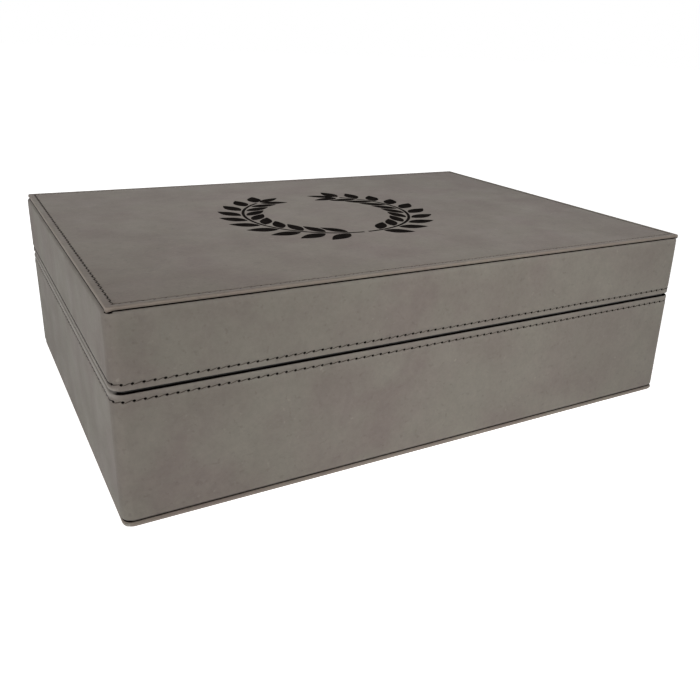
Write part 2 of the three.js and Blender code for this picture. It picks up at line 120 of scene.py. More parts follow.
# Pads
PAD_REACH = 0.25  # from the CAD pad to just short of the lined walls
PAD_SWELL = 1.3  # height that is left for the air
PAD_CELL = 4.5
PAD_CORNER = 3.0
PAD_LAYERS = ((0.0, 0.0), (0.1, 0.35), (0.3, 0.75), (1.0, 1.0))  # inset, share of the height
PAD_INSET = 0.5
PAD_CAP = 1.25  # the furthest that the air moves a point
CLOTH_STEPS = 20


def box_mm(node):
    lo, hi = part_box(node)
    return np.array(lo) / MM, np.array(hi) / MM


# Outlines and sections


class Outline:
    """A rounded rectangle, walked from the middle of the back by way of the left side."""

    LEFT_RIGHT = (0, -1, -1, -1, -1, 1, 1, 1, 1, 0)
    FRONT_BACK = (1, 1, 1, -1, -1, -1, -1, 1, 1, 1)
    QUARTERS = (1, 1, 2, 2, 3, 3, 4, 4, 5, 5)
    CORNERS = (1, 3, 5, 7)

    def __init__(self, half_x, half_y, radius):
        self.half_x, self.half_y, self.radius = half_x, half_y, radius
        along_x, along_y = half_x - radius, half_y - radius
        arc = math.pi / 2 * radius
        runs = [along_x, arc, 2 * along_y, arc, 2 * along_x, arc, 2 * along_y, arc, along_x]
        self.knots = np.concatenate([[0], np.cumsum(runs)])
        self.length = self.knots[-1]

    def at(self, station, inset):
        station = np.asarray(station, float) % self.length
        left_right = np.interp(station, self.knots, self.LEFT_RIGHT)
        front_back = np.interp(station, self.knots, self.FRONT_BACK)
        angle = np.interp(station, self.knots, self.QUARTERS) * math.pi / 2
        radius = np.maximum(self.radius - inset, LEAST_RADIUS)
        x = left_right * (self.half_x - inset - radius) + radius * np.cos(angle)
        y = front_back * (self.half_y - inset - radius) + radius * np.sin(angle)
        return x, y

    def to_corner(self, station):
        """Distance along the outline to the middle of the nearest corner."""
        corners = np.array([self.knots[k] + math.pi / 4 * self.radius for k in self.CORNERS])
        return np.abs(station[:, None] - corners).min(1)

    def sideness(self, x):
        """1 on the right side, fading to 0 at SIDE_FADE inside it."""
        return np.clip((x - self.half_x + SIDE_FADE) / SIDE_FADE, 0, 1)


def round_points(centre, radius, start, end, steps):
    """Points of an arc in (inset, depth), with angles in quarter turns: 0 inwards, 1 deeper,
    2 outwards, 3 to the rim."""
    angles = np.linspace(start, end, steps + 1) * math.pi / 2
    return [(centre[0] + radius * math.cos(a), centre[1] + radius * math.sin(a)) for a in angles]


def bell(distance, width):
    return np.exp(-((distance / width) ** 2))


def waves(seed, scale, count=7):
    """A smooth random height over (u, v), about -1 to 1."""
    rng = np.random.default_rng(seed)
    turns = rng.uniform(0, 2 * math.pi, count)
    rates = rng.uniform(0.5, 1.5, count) * 2 * math.pi / scale
    phases = rng.uniform(0, 2 * math.pi, count)

    def height(u, v):
        total = sum(
            np.sin(rate * (u * math.cos(turn) + v * math.sin(turn)) + phase)
            for rate, turn, phase in zip(rates, turns, phases)
        )
        return total / math.sqrt(count * 2)

    return height


class Sewing:
    """A row of stitches round an outline: where its holes are and how the line wanders."""

    def __init__(self, outline, inset, seed):
        self.outline = outline
        radius = max(outline.radius - inset, 0.6)
        line = Outline(outline.half_x - inset, outline.half_y - inset, radius)
        count = round(line.length / STITCH)
        pitch = outline.length / count
        self.rng = np.random.default_rng(seed)
        self.holes = (np.arange(count) + 0.5) * pitch + self.rng.uniform(-HOLE_STRAY, HOLE_STRAY, count)
        self.ends = np.append(self.holes[1:], self.holes[0] + outline.length)
        self.wander = waves(seed + 1, 60)

    def stations(self):
        """Mesh columns: several round each hole and one halfway to the next."""
        near = self.holes[:, None] + np.array(STATIONS)
        return np.hstack([near, ((self.holes + self.ends) / 2)[:, None]]).ravel()

    def shift(self, station):
        return 0.07 * self.wander(station, 0.0)

    def hole_and_shade(self, station, across):
        """1 in the middle of a hole, 0 away from it."""
        nearest = self.holes[np.abs(station[..., None] - self.holes).argmin(-1)]
        reach = ((station - nearest) / HOLE_LENGTH) ** 2 + (across / HOLE_HEIGHT) ** 2
        return np.clip(1 - reach, 0, 1) ** 0.8


# Meshes


def mesh_object(name, points, faces, smooth=True):
    mesh = bpy.data.meshes.new(name)
    mesh.from_pydata((np.asarray(points, float) * MM).tolist(), [], faces)
    mesh.update()
    made = bpy.data.objects.new(name, mesh)
    bpy.context.scene.collection.objects.link(made)
    if smooth:
        mesh.shade_smooth()
    return made


def ring(outline, station, inset, level):
    """Points round an outline. The inset and the level are numbers, or change along it."""
    x, y = outline.at(station, inset)
    return np.stack([x, y, np.broadcast_to(level, x.shape)], 1)


def grid_faces(rows, columns, closed_rows):
    """Faces between rings of points, also from the last to the first where closed_rows says so."""
    faces = []
    for row in range(rows if closed_rows else rows - 1):
        near, far = row * columns, (row + 1) % rows * columns
        for i in range(columns):
            j = (i + 1) % columns
            faces.append((near + i, near + j, far + j, far + i))
    return faces


def point_values(made, name, values):
    layer = made.data.attributes.new(name, "FLOAT", "POINT")
    layer.data.foreach_set("value", np.asarray(values, np.float32).ravel())


def face_out(made):
    work = bmesh.new()
    work.from_mesh(made.data)
    bmesh.ops.recalc_face_normals(work, faces=work.faces)
    work.to_mesh(made.data)
    work.free()
    return made


def apply_modifiers(made):
    """Gives a piece the mesh that its modifiers make, and removes them."""
    evaluated = made.evaluated_get(bpy.context.evaluated_depsgraph_get())
    mesh = bpy.data.meshes.new_from_object(evaluated)
    made.modifiers.clear()
    made.data = mesh


def cut_with(made, cutters):
    """Cuts solids out of a piece and removes them."""
    for cutter in cutters:
        modifier = made.modifiers.new("cut", "BOOLEAN")
        modifier.operation, modifier.solver, modifier.object = "DIFFERENCE", "MANIFOLD", cutter
    apply_modifiers(made)
    for cutter in cutters:
        bpy.data.objects.remove(cutter)
    made.data.set_sharp_from_angle(angle=SHARP)
    return made


def block(lo, hi):
    points = [(x, y, z) for x in (lo[0], hi[0]) for y in (lo[1], hi[1]) for z in (lo[2], hi[2])]
    faces = [(0, 1, 3, 2), (4, 6, 7, 5), (0, 4, 5, 1), (2, 3, 7, 6), (0, 2, 6, 4), (1, 5, 7, 3)]
    return face_out(mesh_object("cutter", points, faces, smooth=False))


def upright_disc(x, y, radius, low, high, sides=48):
    turn = np.linspace(0, 2 * math.pi, sides, endpoint=False)
    circle = np.stack([x + radius * np.cos(turn), y + radius * np.sin(turn)], 1)
    points = [(*p, low) for p in circle] + [(*p, high) for p in circle]
    faces = grid_faces(2, sides, False) + [tuple(range(sides))[::-1], tuple(range(sides, 2 * sides))]
    return face_out(mesh_object("cutter", points, faces, smooth=False))


# Wrapped walls


def wall_skin(body, half, rim, wall, cutters):
    """The leatherette of one half, from its edge on the rim down the wall and under the foot."""
    rise, row, seed = RISE[body], WALL_ROWS[body], SEED[body]
    is_lid = body == "lid"
    outline = Outline(*half, CORNER_RADIUS)
    sewing = Sewing(outline, 0, seed)
    station = sewing.stations()
    row_shift = sewing.shift(station)
    foot = wall - FOOT_ROLL
    face_rows = max(4, round((wall - 10) / FACE_ROW))
    face_depths = np.linspace(row + FACE_MARGINS[0], foot - FACE_MARGINS[1], face_rows)
    rim_roll = round_points((RIM_ROLL, RIM_ROLL), RIM_ROLL, 3, 2, 7)
    foot_roll = round_points((FOOT_ROLL, foot), FOOT_ROLL, 2, 1, 7)
    # Each row: inset, depth, what lies on it, how pale it is worn and how dark its painted shade is
    outer = [(RIM_LAP, 0, "rim", RIM_WEAR, 1)]
    outer += [(*p, "rim", RIM_WEAR, painted_shade) for p, painted_shade in zip(rim_roll, RIM_PAINTED_SHADE)]
    outer += [(0, row + offset, "sewing", SEWING_WEAR, 0) for offset in (-1.0, *ROW_OFFSETS[1:], 2.3)]
    outer += [(0, depth, "face", 0, 0) for depth in face_depths]
    outer += [(*p, "foot", FOOT_WEAR, painted_shade) for p, painted_shade in zip(foot_roll, FOOT_PAINTED_SHADE[body])]
    outer += [(TURN_UNDER, wall, "", 0, 1)]
    inner = [(TURN_UNDER, wall - SKIN)]
    inner += round_points((FOOT_ROLL, foot), FOOT_ROLL - SKIN, 1, 2, 2)
    inner += round_points((RIM_ROLL, RIM_ROLL), RIM_ROLL - SKIN, 2, 3, 3)
    inner += [(RIM_LAP, SKIN)]
    drift = waves(seed + 2, 90)
    on_left = outline.sideness(-outline.at(station, 0.0)[0])
    at_corner = np.exp(-((outline.to_corner(station) / 1.7) ** 4))
    points, holes, edges = [], [], []
    for inset, depth, kind, edge, painted_shade in outer:
        inset, depth, hole_and_shade = (np.full(len(station), float(value)) for value in (inset, depth, painted_shade))
        if kind == "sewing":
            across = depth - row
            depth = depth + row_shift
            hole_and_shade = sewing.hole_and_shade(station, across)
            inset += VALLEY["wall"] * bell(across, VALLEY_HALF) + HOLE_DEPTH["wall"] * hole_and_shade
            inset -= 0.08 * bell(across - 1.9, 0.9)  # the leatherette swells beside the row
            # painted shadow: a dark line along the stitch row on the left side
            hole_and_shade = np.maximum(hole_and_shade, on_left * (0.5 if is_lid else 0.16) * bell(across, 0.4))
        if kind == "foot":
            # less painted shade in the seam by the foot on the left side, where light falls
            hole_and_shade *= 1 - (0.45 if is_lid else 1) * on_left
            # painted shadow under the panel's corner, where it overhangs the lid's wall
            if is_lid and depth[0] > foot + 0.55 * FOOT_ROLL:
                hole_and_shade = np.minimum(1, hole_and_shade + at_corner)
        # no painted shade on the rim on the left side, where light falls into the gap
        if kind == "rim":
            hole_and_shade *= 1 - on_left
        if kind == "face":
            inset += 0.1 * drift(station, depth) * np.minimum(1, (foot - depth) / 8)
        points.append(ring(outline, station, inset, rim + rise * depth))
        holes.append(hole_and_shade)
        # on the left rim the paleness is raised to a painted highlight
        edges.append(edge * (1 + (7 if kind == "rim" else 0) * on_left))
    for inset, depth in inner:
        points.append(ring(outline, station, inset, rim + rise * depth))
        holes.append(np.ones(len(station)))
        edges.append(np.zeros(len(station)))
    faces = grid_faces(len(points), len(station), True)
    made = mesh_object(f"{body}_skin", np.concatenate(points), faces)
    point_values(made, "hole_and_shade", np.concatenate(holes))
    point_values(made, "edge", np.concatenate(edges))
    cut_with(face_out(made), cutters)

    def place(at, out, across):
        x, y = outline.at(at, VALLEY["wall"] - out)
        return x, y, rim + rise * (row + sewing.shift(at) + across)

    return made, sewing, place


def rim_cloth(body, half, rim, cutters):
    """The lining cloth of one half, over the rest of the rim and down the inside of the wall."""
    outline = Outline(*half, CORNER_RADIUS)
    station = np.unique(np.concatenate([outline.knots[:-1], np.arange(0, outline.length, 1.7)]))
    centre, edge = (WALL - INNER_ROLL, INNER_ROLL), RIM_LAP + GLUE
    section = [(WALL, TURN_IN), *round_points(centre, INNER_ROLL, 4, 3, 7)]
    section += [(edge + 0.2, 0), (edge, 0.2), (edge, SKIN)]
    section += [*round_points(centre, INNER_ROLL - SKIN, 3, 4, 3), (WALL - SKIN, TURN_IN)]
    points = [ring(outline, station, inset, rim + RISE[body] * depth) for inset, depth in section]
    faces = grid_faces(len(points), len(station), True)
    made = mesh_object(f"{body}_rim_suede", np.concatenate(points), faces)
    return cut_with(face_out(made), cutters)


def threads(name, sewing, place, rise, sunk):
    """One short length of thread from each hole to the next, sunk in the holes at both ends."""
    share, sides = THREAD_SHARES, THREAD_SIDES
    turn = np.arange(sides) * 2 * math.pi / sides
    tube = grid_faces(len(share), sides, False)
    points, faces = [], []
    for start, end in zip(sewing.holes, sewing.ends):
        slant = THREAD_SLANT * sewing.rng.uniform(0.7, 1.2)
        height = THREAD_RISE * sewing.rng.uniform(0.6, 1.3)
        radius = THREAD_RADIUS * sewing.rng.uniform(0.9, 1.1)
        radius = radius * (0.75 + 0.25 * np.sin(math.pi * share) ** 0.5)
        at = start + THREAD_START + (end - start - 2 * THREAD_START) * share
        out = -sunk + (sunk + height) * np.sin(math.pi * share) ** 0.35
        across = slant * (2 * share - 1) * rise
        first = len(points)
        for k in range(len(share)):
            low, wide = radius[k] * 0.85 * np.cos(turn), radius[k] * np.sin(turn)
            points.extend(zip(*place(np.full(sides, at[k]), out[k] + low, across[k] + wide)))
        faces += [tuple(first + i for i in face) for face in tube]
        faces.append(tuple(range(first, first + sides))[::-1])
        faces.append(tuple(range(len(points) - sides, len(points))))
    made = face_out(mesh_object(name, points, faces))
    x = np.array(points)[:, 0]
    point_values(made, "left", x < x.min() + 1.5)
    return made


# Covered panels


def leaf(foot, heading, length, width):
    """Outline of one pointed leaf."""
    share = np.linspace(0, 1, 12)
    belly = width / 2 * np.sin(math.pi * share**0.85) ** 0.9
    along = np.concatenate([share, share[-2:0:-1]]) * length
    across = np.concatenate([belly, -belly[-2:0:-1]])
    c, s = math.cos(heading), math.sin(heading)
    return np.stack([foot[0] + along * c - across * s, foot[1] + along * s + across * c], 1)


def arc_band(radius, start, end, width):
    """Outline of a thin band along an arc, with angles in degrees."""
    turn = np.radians(np.linspace(start, end, 33))
    out, back = (
        np.stack([r * np.cos(turn), r * np.sin(turn)], 1) for r in (radius + width / 2, radius - width / 2)
    )
    return np.concatenate([out, back[::-1]])


def wreath(centre, radius, pairs=10):
    """Outlines of a laurel wreath: two twigs that nearly meet at the bottom and stay open at the top."""
    turns = np.radians(np.linspace(-78, 56, pairs))
    pitch = radius * (turns[1] - turns[0])
    twig = [arc_band(radius, -88.5, 54, TWIG)]
    for turn in turns:
        for outer in (-1, 1):
            at = radius + outer * TWIG
            foot = (at * math.cos(turn), at * math.sin(turn))
            heading = turn + math.pi / 2 - outer * 0.75
            twig.append(leaf(foot, heading, pitch * 1.36, pitch * (0.6 + 0.06 * outer)))
    end = turns[-1] + 0.04
    tip = (radius * math.cos(end), radius * math.sin(end))
    twig.append(leaf(tip, end + math.pi / 2, pitch * 1.4, pitch * 0.5))
    return [centre + shape * (side, 1) for side in (-1, 1) for shape in twig]


def panel_skin(body, lo, hi):
    """The leatherette over one panel. The lid's is sewn and lies face up, the base's face down."""
    rise = RISE[body]
    sewn = body == "lid"
    seam = lo[2] if sewn else hi[2]
    thick = hi[2] - lo[2]
    outline = Outline((hi[0] - lo[0]) / 2, (hi[1] - lo[1]) / 2, PANEL_CORNER[body])
    sewing = Sewing(outline, PANEL_ROW, SEED[body] + 5)
    station = sewing.stations()
    shift = sewing.shift(station)
    under_roll = round_points((PANEL_EDGE, PANEL_EDGE), PANEL_EDGE, 3, 2, 6)
    edge_roll = round_points((PANEL_EDGE, thick - PANEL_EDGE), PANEL_EDGE, 2, 1, 6)[1:]
    # Rows as in wall_skin
    outer = [(PANEL_TURN_IN, 0, "", 0, 1)]
    outer += [(*p, "under", 0, painted_shade) for p, painted_shade in zip(under_roll, PANEL_PAINTED_SHADE[body])]
    outer += [(*p, "edge", edge, 0) for p, edge in zip(edge_roll, PANEL_WEAR_AND_HIGHLIGHT[body])]
    outer += [(PANEL_ROW + offset, thick, "sewing", 0, 0) for offset in (-2.2, *ROW_OFFSETS, 2.4)]
    outer += [(PANEL_BORDER, thick, "", 0, 0)]
    inner = [(PANEL_BORDER, thick - PANEL_SKIN), (PANEL_SKIN, thick - PANEL_SKIN)]
    inner += [(PANEL_SKIN, PANEL_SKIN), (PANEL_TURN_IN, PANEL_SKIN)]
    dip = bell(outline.to_corner(station), 1.5)
    on_side = outline.sideness(np.abs(outline.at(station, 0.0)[0]))
    points, holes, edges = [], [], []
    for inset, depth, kind, edge, painted_shade in outer:
        inset, depth, hole_and_shade = (np.full(len(station), float(value)) for value in (inset, depth, painted_shade))
        if kind == "sewing" and sewn:
            across = inset - PANEL_ROW
            inset = inset + shift
            # painted shade in the stitch holes, stronger on the sides than on the front
            hole_and_shade = sewing.hole_and_shade(station, across) * (0.45 + 0.55 * on_side)
            depth -= VALLEY["panel"] * bell(across, VALLEY_HALF) + HOLE_DEPTH["panel"] * hole_and_shade
        if kind == "under":
            depth -= (0.65 if sewn else 0.2) * dip
            # painted shadow under the panel's corners
            hole_and_shade = np.minimum(1, hole_and_shade * (1 + 3 * dip))
        points.append(ring(outline, station, inset, seam + rise * depth))
        holes.append(hole_and_shade)
        # painted highlight on the panel's side edges
        edges.append(edge * (1 + 2 * on_side))
    for inset, depth in inner:
        points.append(ring(outline, station, inset, seam + rise * depth))
        holes.append(np.zeros(len(station)))
        edges.append(np.zeros(len(station)))
    columns = len(station)
    faces = grid_faces(len(points), columns, True)
    # The flat middle, outside and inside, in place of the faces that would join them
    last = len(outer) * columns
    faces[last - columns : last] = [tuple(range(last - columns, last)), tuple(range(last, last + columns))]
    made = mesh_object(f"{body}_panel_skin", np.concatenate(points), faces)
    point_values(made, "hole_and_shade", np.concatenate(holes))
    point_values(made, "edge", np.concatenate(edges))
    face_out(made).data.set_sharp_from_angle(angle=SHARP)

    def place(at, out, across):
        x, y = outline.at(at, PANEL_ROW + sewing.shift(at) + across)
        return x, y, seam + rise * (thick - VALLEY["panel"] + out)

    return made, sewing, place


def stamped(name, shapes, level):
    """A foil motif pressed into a face at this level: a thin closed plate for each shape."""
    points, faces = [], []
    for k, shape in enumerate(shapes):
        first, count = len(points), len(shape)
        points += [(x, y, level + FOIL_OVER + FOIL_STEP * k) for x, y in shape]
        points += [(x, y, level - FOIL_UNDER) for x, y in shape]
        for face in tessellate_polygon([[Vector((x, y, 0)) for x, y in shape]]):
            a, b, c = (first + i for i in face)
            faces += [(a, b, c), (count + c, count + b, count + a)]
        for i in range(count):
            j = (i + 1) % count
            faces.append((first + i, first + j, first + count + j, first + count + i))
    return face_out(mesh_object(name, points, faces, smooth=False))


# Lined inside


def lining_card(name, lo, hi, rim_up):
    """A suede-covered card: soft edge by the rim, faintly crowned face. Drawn along its longer side."""
    long_x = hi[0] - lo[0] > hi[1] - lo[1]
    length, thick = (hi - lo)[:2] if long_x else (hi - lo)[1::-1]
    height = hi[2] - lo[2]
    middle = (lo + hi) / 2
    towards = -np.sign(middle[1] if long_x else middle[0])
    radius = min(0.85, thick / 2 - 0.02)
    turn = np.linspace(math.pi, 0, 11)[1:-1]
    section = [(0.0, 0.0), (0.0, height - radius)]
    section += [(thick / 2 + thick / 2 * math.cos(a), height - radius + radius * math.sin(a)) for a in turn]
    section += [(thick, height - radius - step * (height - radius) / 8) for step in range(9)]
    columns = 64
    along = np.sin(np.linspace(-math.pi / 2, math.pi / 2, columns)) * length / 2
    drift = waves(int(abs(middle[0] * 7 + middle[1] * 3 + middle[2])), 70)
    points = []
    for out, up in section:
        crown = 0.12 * min(1, up / 6) if out >= thick and up > 0 else 0
        z = lo[2] + up if rim_up else hi[2] - up
        for a in along:
            across = (out + crown * drift(a, up) - thick / 2) * towards
            x, y = (a, across) if long_x else (across, a)
            points.append((middle[0] + x, middle[1] + y, z))
    rows = len(section)
    starts = [row * columns for row in range(rows)]
    faces = []
    for near, far in zip(starts, starts[1:] + starts[:1]):
        faces += [(near + i, near + i + 1, far + i + 1, far + i) for i in range(columns - 1)]
    faces += [tuple(starts), tuple(start + columns - 1 for start in reversed(starts))]
    made = face_out(mesh_object(name, points, faces))
    made.data.set_sharp_from_angle(angle=SHARP)
    return made


def pad_cover(name, lo, hi, up):
    """A thin cushion: a closed sheet over the pad's board, blown up by a cloth simulation."""
    middle = (lo + hi) / 2
    half_x, half_y = (hi - lo)[:2] / 2 + PAD_REACH
    height = hi[2] - lo[2] - PAD_SWELL
    count_x, count_y = round(2 * half_x / PAD_CELL), round(2 * half_y / PAD_CELL)
    u = np.linspace(-1, 1, count_x + 1)
    v = np.linspace(-1, 1, count_y + 1)

    def plan(a, b, inset):
        """The place of a point, drawn in round the corners."""
        x, y = a * (half_x - inset), b * (half_y - inset)
        start_x, start_y = half_x - inset - PAD_CORNER, half_y - inset - PAD_CORNER
        over_x, over_y = abs(x) - start_x, abs(y) - start_y
        if over_x > 0 and over_y > 0:
            reach = max(over_x, over_y) / math.hypot(over_x, over_y)
            x = math.copysign(start_x + over_x * reach, x)
            y = math.copysign(start_y + over_y * reach, y)
        return x, y

    index, points = {}, []

    def vertex(i, j, layer):
        key = (i, j, layer)
        if key not in index:
            index[key] = len(points)
            inset, share = PAD_LAYERS[layer]
            on_border = i in (0, count_x) or j in (0, count_y)
            x, y = plan(u[i], v[j], inset if on_border else PAD_INSET)
            z = lo[2] + share * height if up else hi[2] - share * height
            points.append((middle[0] + x, middle[1] + y, z))
        return index[key]

    top = len(PAD_LAYERS) - 1
    faces = []
    for i in range(count_x):
        for j in range(count_y):
            cell = ((i, j), (i + 1, j), (i + 1, j + 1), (i, j + 1))
            faces.append(tuple(vertex(a, b, top) for a, b in cell))
            faces.append(tuple(vertex(a, b, 0) for a, b in cell)[::-1])
    border = [(i, 0) for i in range(count_x)] + [(count_x, j) for j in range(count_y)]
    border += [(i, count_y) for i in range(count_x, 0, -1)] + [(0, j) for j in range(count_y, 0, -1)]
    for near, far in zip(border, border[1:] + border[:1]):
        for k in range(top):
            corners = ((*near, k), (*far, k), (*far, k + 1), (*near, k + 1))
            faces.append(tuple(vertex(*corner) for corner in corners))
    made = face_out(mesh_object(name, points, faces))
    foot = {index[i, j, 0] for i, j in border}
    creases = [float(foot.issuperset(edge.vertices)) for edge in made.data.edges]
    made.data.edge_creases_ensure().data.foreach_set("value", creases)
    inflate(made, [k for (i, j, layer), k in index.items() if layer == 0])
    modifier = made.modifiers.new("smooth", "SUBSURF")
    modifier.levels = modifier.render_levels = 1
    apply_modifiers(made)
    made.data.shade_smooth()
    return made


def inflate(made, held):
    """Runs the cloth with air inside it, keeps its result within the cap, and leaves no modifier."""
    rest = np.array([v.co for v in made.data.vertices])
    made.vertex_groups.new(name="held").add(held, 1.0, "REPLACE")
    modifier = made.modifiers.new("cloth", "CLOTH")
    settings = modifier.settings
    settings.quality = 6
    settings.mass = 0.3
    settings.vertex_group_mass = "held"
    settings.use_pressure = True
    settings.uniform_pressure_force = 4
    settings.shrink_min = -0.03
    settings.tension_stiffness = settings.compression_stiffness = 12
    settings.bending_stiffness = 0.4
    settings.effector_weights.gravity = 0
    scene = bpy.context.scene
    modifier.point_cache.frame_start, modifier.point_cache.frame_end = 1, CLOTH_STEPS + 4
    for step in range(1, CLOTH_STEPS + 1):
        scene.frame_set(step)
    evaluated = made.evaluated_get(bpy.context.evaluated_depsgraph_get())
    blown = np.array([v.co for v in evaluated.data.vertices])
    scene.frame_set(1)
    made.modifiers.clear()
    made.vertex_groups.clear()
    moved = blown - rest
    size = np.linalg.norm(moved, axis=1, keepdims=True)
    most, least = PAD_CAP * MM, 1e-12
    kept = moved * np.where(size > least, most * np.tanh(size / most) / np.maximum(size, least), 0)
    made.data.vertices.foreach_set("co", (rest + kept).astype(np.float32).ravel())
    made.data.update()


# Materials


class Nodes:
    """A node tree: add() makes a node, with its inputs set or linked, and returns it."""

    def __init__(self, tree):
        self.tree = tree
        self.tree.nodes.clear()

    def add(self, kind, settings=None, **inputs):
        node = self.tree.nodes.new(kind)
        for key, value in (settings or {}).items():
            setattr(node, key, value)
        for key, value in inputs.items():
            self.put(node, key, value)
        return node

    def put(self, node, key, value):
        """Sets or links an input, named with its spaces as underscores, or numbered as in0."""
        at = int(key[2:]) if key[:2] == "in" and key[2:].isdigit() else key.replace("_", " ")
        socket = node.inputs[at]
        if isinstance(value, bpy.types.NodeSocket):
            self.tree.links.new(value, socket)
        else:
            socket.default_value = value

    def spread(self, value, low, high, to_low=0.0, to_high=1.0):
        """Maps low to to_low and high to to_high, and stops there."""
        limits = {"From_Min": low, "From_Max": high, "To_Min": to_low, "To_Max": to_high}
        return self.add("ShaderNodeMapRange", Value=value, **limits).outputs[0]

    def math(self, operation, first, second):
        return self.add("ShaderNodeMath", {"operation": operation}, in0=first, in1=second).outputs[0]

    def seen(self):
        """1 for what the camera sees, also mirrored or through glass, 0 for the light on things."""
        rays = self.add("ShaderNodeLightPath").outputs
        seen = self.math("MAXIMUM", rays["Is Camera Ray"], rays["Is Glossy Ray"])
        return self.math("MAXIMUM", seen, rays["Is Transmission Ray"])


class Paint(Nodes):
    """The node tree of a new material."""

    def __init__(self, name, **shader):
        self.material = bpy.data.materials.new(name)
        self.material.use_nodes = True
        super().__init__(self.material.node_tree)
        self.shader = self.add("ShaderNodeBsdfPrincipled", **shader)
        self.add("ShaderNodeOutputMaterial", Surface=self.shader.outputs[0])
        self.place = self.add("ShaderNodeTexCoord").outputs["Object"]

    def noise(self, scale, detail=2.0, roughness=0.5, stretch=None):
        place = self.place
        if stretch:
            place = self.add("ShaderNodeMapping", Vector=place, Scale=stretch).outputs[0]
        settings = {"Vector": place, "Scale": scale, "Detail": detail, "Roughness": roughness}
        return self.add("ShaderNodeTexNoise", **settings).outputs[0]

    def cells(self, scale):
        return self.add("ShaderNodeTexVoronoi", Vector=self.place, Scale=scale).outputs["Distance"]

    def mix(self, share, first, second, blend="MIX"):
        settings = {"data_type": "RGBA", "blend_type": blend}
        return self.add("ShaderNodeMix", settings, in0=share, in6=first, in7=second).outputs[2]

    def shade(self, colour, share):
        """A colour made lighter or darker by a share."""
        grey = self.add("ShaderNodeCombineColor", Red=share, Green=share, Blue=share).outputs[0]
        return self.mix(1.0, colour, grey, "MULTIPLY")

    def value(self, name):
        return self.add("ShaderNodeAttribute", {"attribute_name": name}).outputs["Fac"]

    def bump(self, height, strength, distance, normal=None):
        node = self.add("ShaderNodeBump", Height=height, Strength=strength, Distance=distance)
        if normal is not None:
            self.put(node, "Normal", normal)
        return node.outputs[0]

    def finish(self, colour, roughness, normal):
        self.put(self.shader, "Base Color", colour)
        self.put(self.shader, "Roughness", roughness)
        self.put(self.shader, "Normal", normal)
        return self.material


def srgb(red, green, blue):
    def linear(byte):
        share = byte / 255
        return share / 12.92 if share <= 0.04045 else ((share + 0.055) / 1.055) ** 2.4

    return (linear(red), linear(green), linear(blue), 1.0)


def leatherette(name, tint):
    """Nubuck-like leatherette. One point value says where its edges are paler, from wear and from painted
    highlight; the other darkens it with painted shade in stitch holes, seams and on the rims.
    """
    paint = Paint(name, Sheen_Roughness=0.5)
    patches = paint.spread(paint.noise(34, 3, 0.55), 0.38, 0.62)
    clouds = paint.spread(paint.noise(13, 2, 0.5), 0.35, 0.65)
    colour = paint.mix(patches, srgb(114, 105, 99), srgb(121, 116, 107))
    colour = paint.mix(paint.math("MULTIPLY", clouds, 0.55), colour, srgb(112, 107, 98))
    colour = paint.shade(colour, paint.spread(paint.noise(620, 4, 0.65), 0.3, 0.7, 0.94, 1.06))
    colour = paint.shade(colour, paint.spread(paint.noise(190, 2, 0.5), 0.3, 0.7, 0.965, 1.035))
    flecks = paint.spread(paint.noise(330, 2, 0.5), 0.66, 0.74)
    flecks = paint.math("MULTIPLY", flecks, paint.spread(paint.noise(45), 0.45, 0.6))
    colour = paint.mix(paint.math("MULTIPLY", flecks, 0.26), colour, srgb(158, 152, 142))
    specks = paint.spread(paint.noise(420, 2, 0.5), 0.37, 0.27)
    colour = paint.mix(paint.math("MULTIPLY", specks, 0.26), colour, srgb(84, 78, 72))
    # paler edges: wear, and painted highlight where the edge value is raised
    wear_and_highlight = paint.math("MULTIPLY", paint.value("edge"), 0.16)
    colour = paint.mix(wear_and_highlight, colour, srgb(145, 139, 132))
    colour = paint.mix(1.0, colour, tint, "MULTIPLY")
    # painted shade in stitch holes, seams and the parting gap, with no sheen or gloss there
    painted_shade_mask = paint.spread(paint.value("hole_and_shade"), 0.05, 0.45)
    colour = paint.mix(painted_shade_mask, colour, srgb(9, 6, 5))
    paint.put(paint.shader, "Sheen_Weight", paint.spread(painted_shade_mask, 0, 1, 0.12, 0))
    paint.put(paint.shader, "Specular_IOR_Level", paint.spread(painted_shade_mask, 0, 1, 0.3, 0))
    roughness = paint.spread(paint.noise(60, 2), 0.3, 0.7, 0.72, 0.9)
    grain = paint.math("ADD", paint.noise(1500, 3, 0.6), paint.math("MULTIPLY", paint.cells(1100), -0.7))
    normal = paint.bump(paint.noise(120, 2), 0.25, 0.0004)
    return paint.finish(colour, roughness, paint.bump(grain, 0.35, 0.00012, normal))


def thread(name, dark, light):
    """Twisted thread. The point value "left" marks the stitches of the left side, which are darkened with
    painted shade.
    """
    paint = Paint(name, Specular_IOR_Level=0.12)
    colour = paint.mix(paint.spread(paint.noise(240, 2), 0.35, 0.65), dark, light)
    colour = paint.mix(paint.math("MULTIPLY", paint.value("left"), 0.75), colour, srgb(22, 18, 16))
    normal = paint.bump(paint.noise(2600, 2, 0.5, (1, 1, 3)), 0.6, 0.00012)
    return paint.finish(colour, 0.62, normal)


def engraving():
    paint = Paint("engraving", Specular_IOR_Level=0.0)
    colour = paint.mix(paint.spread(paint.noise(260, 3), 0.35, 0.65), srgb(27, 24, 23), srgb(38, 34, 32))
    colour = paint.mix(paint.spread(paint.noise(1300, 2), 0.6, 0.75, 0, 0.5), colour, srgb(54, 49, 45))
    return paint.finish(colour, 0.8, paint.bump(paint.noise(1200, 2), 0.3, 0.00006))


